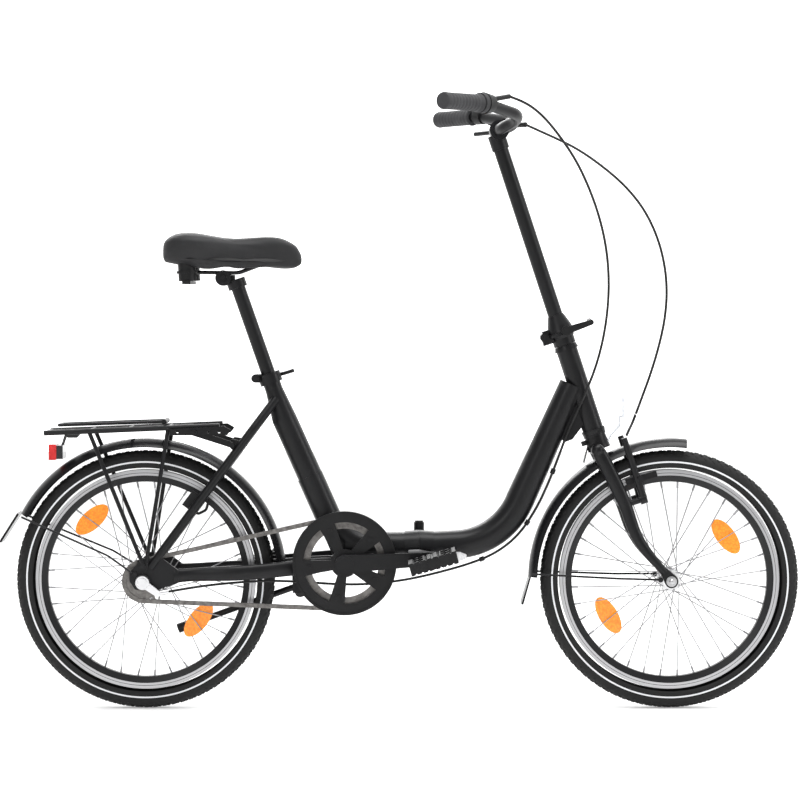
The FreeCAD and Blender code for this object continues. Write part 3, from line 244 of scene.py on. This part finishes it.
rear_axle_at = sum((Vector(c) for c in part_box("rear_rim")), Vector()) / 2
front_axle_at = sum((Vector(c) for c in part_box("front_rim")), Vector()) / 2
for wheel, axle_at in (("rear", rear_axle_at), ("front", front_axle_at)):
    # Rim: a black anodised extrusion whose braking tracks are turned bright, with a wear groove.
    rim_finish, rim_shader = new_finish(wheel + "_rim_alloy", (0.02, 0.02, 0.02), 0.3)
    band_by_radius(rim_finish, axle_at, [(0.18, (0.014, 0.014, 0.015), 0.36, 0.0),
                                         (0.2012, (0.48, 0.48, 0.49), 0.34, 1.0),
                                         (0.2056, (0.05, 0.05, 0.05), 0.40, 0.6),
                                         (0.2064, (0.48, 0.48, 0.49), 0.34, 1.0),
                                         (0.2119, (0.03, 0.03, 0.03), 0.5, 0.0)])
    grain(rim_finish, 1200, 0.08, 0.0002)
    dress(rim_finish, wheel + "_rim")
    # Tyre: black rubber with a white reflecting line moulded round each wall.
    tyre_finish, tyre_shader = new_finish(wheel + "_tyre_rubber", (0.014, 0.014, 0.014), 0.7)
    band_by_radius(tyre_finish, axle_at, [(0.18, (0.012, 0.012, 0.012), 0.68, 0.0),
                                          (0.2262, (0.74, 0.75, 0.77), 0.5, 0.0),
                                          (0.2292, (0.012, 0.012, 0.012), 0.68, 0.0),
                                          (0.2400, (0.017, 0.017, 0.017), 0.78, 0.0)])
    grain(tyre_finish, 500, 0.35, 0.0006)
    dress(tyre_finish, wheel + "_tyre")

# Amber reflectors: clear plastic shells with a prismatic back, and a faint painted glow that stands in for the
# light they throw back.
amber, amber_shader = new_finish("amber_reflector_painted_glow", (0.96, 0.34, 0.01), 0.22)
amber_nodes, amber_links = amber.node_tree.nodes, amber.node_tree.links
amber_place = amber_nodes.new("ShaderNodeTexCoord")
amber_cells = amber_nodes.new("ShaderNodeTexVoronoi")
amber_cells.inputs["Scale"].default_value = 260
amber_ramp = amber_nodes.new("ShaderNodeValToRGB")
amber_ramp.color_ramp.elements[0].color = (1.0, 0.38, 0.01, 1)
amber_ramp.color_ramp.elements[1].color = (0.85, 0.20, 0.0, 1)
amber_ramp.color_ramp.elements[1].position = 0.8
amber_links.new(amber_place.outputs["Object"], amber_cells.inputs["Vector"])
amber_links.new(amber_cells.outputs["Distance"], amber_ramp.inputs["Fac"])
amber_links.new(amber_ramp.outputs["Color"], amber_shader.inputs["Base Color"])
amber_shader.inputs["Coat Weight"].default_value = 0.8
# Painted glow: a weak orange emission makes the reflectors shine by themselves, though they are no lamp.
amber_shader.inputs["Emission Color"].default_value = (1.0, 0.30, 0.0, 1)
amber_shader.inputs["Emission Strength"].default_value = 0.12
dress(amber, "rear_wheel_reflectors", "front_wheel_reflectors")

# Red tail reflector and clear front reflector.
red_lens, red_shader = new_finish("red_lens", (0.62, 0.02, 0.02), 0.2)
mottle(red_lens, (0.50, 0.01, 0.01), (0.75, 0.03, 0.03), 90, 0.16, 0.26)
red_shader.inputs["Coat Weight"].default_value = 0.6
tail_nodes, tail_links = red_lens.node_tree.nodes, red_lens.node_tree.links
tail_place = tail_nodes.new("ShaderNodeTexCoord")
tail_split = tail_nodes.new("ShaderNodeSeparateXYZ")
tail_front = tail_nodes.new("ShaderNodeMath")
tail_front.operation = "GREATER_THAN"
tail_front.inputs[1].default_value = -0.6605
tail_mix = tail_nodes.new("ShaderNodeMix")
tail_mix.data_type = "RGBA"
tail_mix.inputs["B"].default_value = (0.014, 0.014, 0.015, 1)
tail_links.new(tail_place.outputs["Object"], tail_split.inputs[0])
tail_links.new(tail_split.outputs["X"], tail_front.inputs[0])
tail_links.new(tail_front.outputs[0], tail_mix.inputs["Factor"])
tail_links.new(tail_nodes["Color Ramp"].outputs["Color"], tail_mix.inputs["A"])
tail_links.new(tail_mix.outputs["Result"], red_shader.inputs["Base Color"])
dress(red_lens, "tail_light")
clear_lens, clear_shader = new_finish("clear_reflector", (0.75, 0.77, 0.80), 0.2)
mottle(clear_lens, (0.60, 0.62, 0.66), (0.85, 0.87, 0.9), 200, 0.12, 0.25)
dress(clear_lens, "front_reflector")

# Grips and twist ring: dark grey rubber.
grip_rubber, grip_shader = new_finish("grip_rubber", (0.045, 0.045, 0.048), 0.7)
mottle(grip_rubber, (0.036, 0.036, 0.038), (0.055, 0.055, 0.058), 30, 0.62, 0.8)
grain(grip_rubber, 900, 0.4, 0.0005)
dress(grip_rubber, "grips", "shifter_ring")

# Saddle cover: soft black vinyl with a pebble grain.
saddle_vinyl, vinyl_shader = new_finish("saddle_vinyl", (0.032, 0.032, 0.034), 0.55)
mottle(saddle_vinyl, (0.013, 0.013, 0.014), (0.021, 0.021, 0.022), 12, 0.48, 0.62)
grain(saddle_vinyl, 1200, 0.35, 0.0004)
dress(saddle_vinyl, "saddle_cover")

# Cable housing: black plastic over steel wire.
cable_housing, housing_shader = new_finish("cable_housing", (0.012, 0.012, 0.012), 0.38)
mottle(cable_housing, (0.010, 0.010, 0.010), (0.018, 0.018, 0.018), 40, 0.32, 0.46)
dress(cable_housing, "brake_cable", "shift_cable")

# Saddle cover. Soft vinyl stretched over foam on the plastic base: wide and humped behind, dished in
# the middle and narrow at the nose. It swells a little over its foam, is pulled in along a seam, and
# its skirt is drawn down round the base.
source_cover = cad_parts["saddle_cover"]
saddle = source_cover.copy()
saddle.data = source_cover.data.copy()
saddle.name = "saddle_cover_padded"
saddle.parent = None
saddle.matrix_world = Matrix.Identity(4)
bpy.context.collection.objects.link(saddle)
bpy.context.view_layer.objects.active = saddle
saddle.select_set(True)
bpy.ops.object.mode_set(mode="EDIT")
bpy.ops.mesh.select_all(action="SELECT")
bpy.ops.mesh.remove_doubles(threshold=0.0002)
bpy.ops.mesh.normals_make_consistent(inside=False)
bpy.ops.transform.shrink_fatten(value=-0.0015)
bpy.ops.object.mode_set(mode="OBJECT")
saddle.data.remesh_voxel_size = 0.0045
bpy.ops.object.voxel_remesh()
bpy.ops.object.shade_smooth()
flat_places = [vertex.co.copy() for vertex in saddle.data.vertices]
cloth = saddle.modifiers.new("foam", "CLOTH")
cloth.settings.use_pressure = True
cloth.settings.uniform_pressure_force = 4
cloth.settings.effector_weights.gravity = 0
cloth.settings.quality = 5
for step in range(1, 21):
    bpy.context.scene.frame_set(step)
bpy.ops.object.modifier_apply(modifier="foam")
bpy.context.scene.frame_set(1)
most_swell = 0.004
for vertex, before in zip(saddle.data.vertices, flat_places):
    swell = vertex.co - before
    if swell.length > most_swell:
        vertex.co = before + swell.normalized() * most_swell
smooth_cover = saddle.modifiers.new("soften", "SMOOTH")
smooth_cover.iterations = 6
smooth_cover.factor = 0.5
bpy.ops.object.modifier_apply(modifier="soften")
seam_depth, seam_width = 0.0016, 0.0022
skirt_from, skirt_stretch = 0.893, 1.75
for vertex in saddle.data.vertices:
    outward = Vector((0, vertex.co.y, 0))
    rise = vertex.co.z - (0.885 + 0.012 * math.cos((vertex.co.x + 0.40) * 9))
    if abs(rise) < 3 * seam_width and outward.length > 0.008:
        vertex.co -= outward.normalized() * seam_depth * math.exp(-(rise / seam_width) ** 2)
    if vertex.co.z < skirt_from:
        vertex.co.z = skirt_from - (skirt_from - vertex.co.z) * skirt_stretch
cover_detail = saddle.modifiers.new("detail", "SUBSURF")
cover_detail.levels = 1
cover_detail.render_levels = 1
saddle.data.materials.clear()
saddle.data.materials.append(saddle_vinyl)
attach(saddle, "seatpost")
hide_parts("saddle_cover")
bpy.ops.object.select_all(action="DESELECT")


# Tyres. A moulded rubber carcass with a low centre rib and rows of slanted shoulder blocks. The
# carcass is spun round the axle, and one block is shaped and then copied round each shoulder.
tyre_radius, tyre_half = 0.250, 0.0235
tread_blocks, block_height, block_sink = 88, 0.0040, 0.0021
crown_from, crown_drop, lip_depth = 0.243, 0.0012, 0.0145
for wheel, axle_at in (("rear", rear_axle_at), ("front", front_axle_at)):
    bpy.ops.mesh.primitive_circle_add(vertices=28, radius=tyre_half, fill_type="NOTHING",
                                      location=(0, 0, tyre_radius - tyre_half))
    tyre = bpy.context.object
    tyre.name = wheel + "_tyre_rubber"
    bpy.ops.transform.rotate(value=math.pi / 2, orient_axis="Y",
                             center_override=(0, 0, tyre_radius - tyre_half))
    bpy.ops.object.transform_apply(location=True, rotation=True, scale=True)
    shape = bmesh.new()
    shape.from_mesh(tyre.data)
    lip = tyre_radius - tyre_half - lip_depth
    bmesh.ops.delete(shape, geom=[v for v in shape.verts if v.co.z < lip], context="VERTS")
    for vertex in shape.verts:
        if vertex.co.z > crown_from:
            vertex.co.z -= crown_drop
    shape.to_mesh(tyre.data)
    shape.free()
    bpy.ops.object.mode_set(mode="EDIT")
    bpy.ops.mesh.select_all(action="SELECT")
    bpy.ops.mesh.spin(steps=180, angle=2 * math.pi, center=(0, 0, 0), axis=(0, 1, 0))
    bpy.ops.mesh.select_all(action="SELECT")
    bpy.ops.mesh.remove_doubles(threshold=0.00005)
    bpy.ops.mesh.normals_make_consistent(inside=False)
    bpy.ops.object.mode_set(mode="OBJECT")
    wall = tyre.modifiers.new("wall", "SOLIDIFY")
    wall.thickness = 0.003
    wall.offset = -1
    bpy.ops.object.modifier_apply(modifier="wall")
    bpy.ops.object.shade_smooth()
    blocks = []
    rows = ((0.0, 0.0050, 0.0085, 0.0, 0.0),
            (0.0085, 0.0062, 0.0072, 0.5, 0.5), (-0.0085, 0.0062, 0.0072, 0.5, -0.5),
            (0.0158, 0.0052, 0.0078, 0.0, 0.6), (-0.0158, 0.0052, 0.0078, 0.0, -0.6))
    for across, width, length, shift, slant in rows:
        rise = math.sqrt(tyre_half ** 2 - across ** 2)
        lean = math.asin(across / tyre_half)
        bpy.ops.mesh.primitive_cube_add(size=1, location=(0, 0, 0))
        block = bpy.context.object
        block.scale = (length, width, block_height)
        bpy.ops.object.transform_apply(scale=True)
        soften = block.modifiers.new("edges", "BEVEL")
        soften.width = 0.0007
        soften.segments = 1
        bpy.ops.object.modifier_apply(modifier="edges")
        base = (Matrix.Translation((0, across, tyre_radius - tyre_half + rise - block_sink))
                @ Matrix.Rotation(-lean, 4, "X") @ Matrix.Rotation(slant, 4, "Z"))
        source = block.data
        joined = bmesh.new()
        for count in range(tread_blocks):
            turn = Matrix.Rotation(2 * math.pi * (count + shift) / tread_blocks, 4, "Y")
            piece = source.copy()
            piece.transform(turn @ base)
            joined.from_mesh(piece)
            bpy.data.meshes.remove(piece)
        joined.to_mesh(block.data)
        joined.free()
        blocks.append(block)
    bpy.ops.object.select_all(action="DESELECT")
    for block in blocks:
        block.select_set(True)
    tyre.select_set(True)
    bpy.context.view_layer.objects.active = tyre
    bpy.ops.object.join()
    tyre.data.transform(Matrix.Translation(axle_at))
    tyre.data.materials.clear()
    tyre.data.materials.append(bpy.data.materials[wheel + "_tyre_rubber"])
    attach(tyre, wheel + "_wheel")
    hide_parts(wheel + "_tyre")
    bpy.ops.object.select_all(action="DESELECT")


# Cables. Black plastic housing on long free curves from the bars: the brake cable drops to the
# noodle on the front brake, the shift cable runs under the main tube to the rear hub.
def lay_cable(name, route, width=0.0025):
    """A round housing on one smooth curve through the route's control points, as a mesh."""
    curve = bpy.data.curves.new(name + "_line", "CURVE")
    curve.dimensions = "3D"
    curve.bevel_depth = width
    curve.bevel_resolution = 3
    curve.resolution_u = 6
    curve.use_fill_caps = True
    line = curve.splines.new("NURBS")
    line.points.add(len(route) - 1)
    for point, place in zip(line.points, route):
        point.co = (place[0] / 1000, place[1] / 1000, place[2] / 1000, 1)
    line.order_u = 3
    line.use_endpoint_u = True
    guide = bpy.data.objects.new(name + "_line", curve)
    bpy.context.collection.objects.link(guide)
    bpy.context.view_layer.update()
    cable = bpy.data.objects.new(name, bpy.data.meshes.new_from_object(guide))
    bpy.data.objects.remove(guide)
    bpy.context.collection.objects.link(cable)
    cable.data.materials.clear()
    cable.data.materials.append(cable_housing)
    cable.data.shade_smooth()
    return cable


brake_route = ((248, 112, 1134), (294, 92, 1112), (345, 68, 1086), (393, 47, 1051), (437, 31, 1012),
               (472, 19, 968), (497, 11, 917), (512, 5, 862), (517, 0, 806), (512, -4, 750),
               (499, -7, 694), (483, -10, 643), (467, -11, 600), (456, -12, 570))
brake_cable = lay_cable("brake_cable_housing", brake_route)
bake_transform(brake_cable)
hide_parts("brake_cable")

upper_route = ((206, -138, 1172), (233, -128, 1164), (266, -116, 1142), (297, -104, 1108),
               (334, -90, 1057), (362, -78, 1000), (383, -67, 942), (396, -58, 884), (401, -50, 826),
               (400, -46.5, 798))
upper_shift = lay_cable("shift_cable_upper", upper_route)
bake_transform(upper_shift)
middle_route = ((400, -46.5, 798), (399, -43, 770), (391, -37, 714), (377, -33, 660), (358, -29, 612),
                (338, -24, 566), (320, -16, 524), (306, -9, 484), (287, -6, 434), (264, -5, 385),
                (230, -5, 334), (185, -5, 299), (134, -5, 279), (107, -5.5, 271.5))
middle_shift = lay_cable("shift_cable_middle", middle_route)
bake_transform(middle_shift)
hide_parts("shift_cable")
hinge_route = ((107, -5.5, 271.5), (80, -6, 264), (30, -8, 252), (-22, -10, 244), (-47, -11, 242))
hinge_shift = lay_cable("shift_cable_hinge", hinge_route)
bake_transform(hinge_shift)
rear_route = ((-47, -11, 242), (-72, -12, 240), (-122, -16, 241), (-170, -24, 245), (-215, -36, 249),
              (-262, -45, 250.5), (-310, -50, 248), (-358, -55, 244), (-404, -60, 238), (-444, -66, 231.5))
rear_shift = lay_cable("shift_cable_rear", rear_route)
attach(rear_shift, "rear_frame")


# Grips. Rubber sleeves pushed on the bar's ends, with a flange inside, fine ribs along their
# length and a rounded closed end.
bar_inner = (Vector((0.157, -0.198, 1.155)), Vector((0.157, 0.198, 1.155)))
bar_end = (Vector((0.080, -0.290, 1.154)), Vector((0.080, 0.290, 1.154)))
grip_profile = [(0.0112, 0.0), (0.0172, 0.0), (0.0175, 0.0035), (0.0160, 0.0060)]
for rib in range(9):
    start = 0.010 + rib * 0.0092
    grip_profile += [(0.0148, start), (0.0157, start + 0.0016), (0.0157, start + 0.0062), (0.0148, start + 0.0078)]
grip_profile += [(0.0158, 0.0945), (0.0162, 0.1015), (0.0150, 0.1055), (0.0090, 0.1066), (0.0, 0.1068)]
grips = []
for inner, outer in zip(bar_inner, bar_end):
    outward = (outer - inner).normalized()
    outline = bpy.data.meshes.new("grip_outline")
    outline.from_pydata([(r, 0, z) for r, z in grip_profile],
                        [(k, k + 1) for k in range(len(grip_profile) - 1)], [])
    grip = bpy.data.objects.new("grip", outline)
    bpy.context.collection.objects.link(grip)
    bpy.context.view_layer.objects.active = grip
    grip.select_set(True)
    bpy.ops.object.mode_set(mode="EDIT")
    bpy.ops.mesh.select_all(action="SELECT")
    bpy.ops.mesh.spin(steps=40, angle=2 * math.pi, center=(0, 0, 0), axis=(0, 0, 1))
    bpy.ops.mesh.select_all(action="SELECT")
    bpy.ops.mesh.remove_doubles(threshold=0.00003)
    bpy.ops.mesh.normals_make_consistent(inside=False)
    bpy.ops.object.mode_set(mode="OBJECT")
    bpy.ops.object.shade_smooth_by_angle(angle=math.radians(50))
    start_at = outer - outward * 0.104
    place = Matrix.Translation(start_at) @ outward.to_track_quat("Z", "Y").to_matrix().to_4x4()
    grip.data.transform(place)
    grips.append(grip)
    bpy.ops.object.select_all(action="DESELECT")
for grip in grips:
    grip.select_set(True)
bpy.context.view_layer.objects.active = grips[0]
bpy.ops.object.join()
grips[0].name = "ribbed_grips"
grips[0].data.materials.clear()
grips[0].data.materials.append(grip_rubber)
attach(grips[0], "handlepost")
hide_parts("grips")
bpy.ops.object.select_all(action="DESELECT")
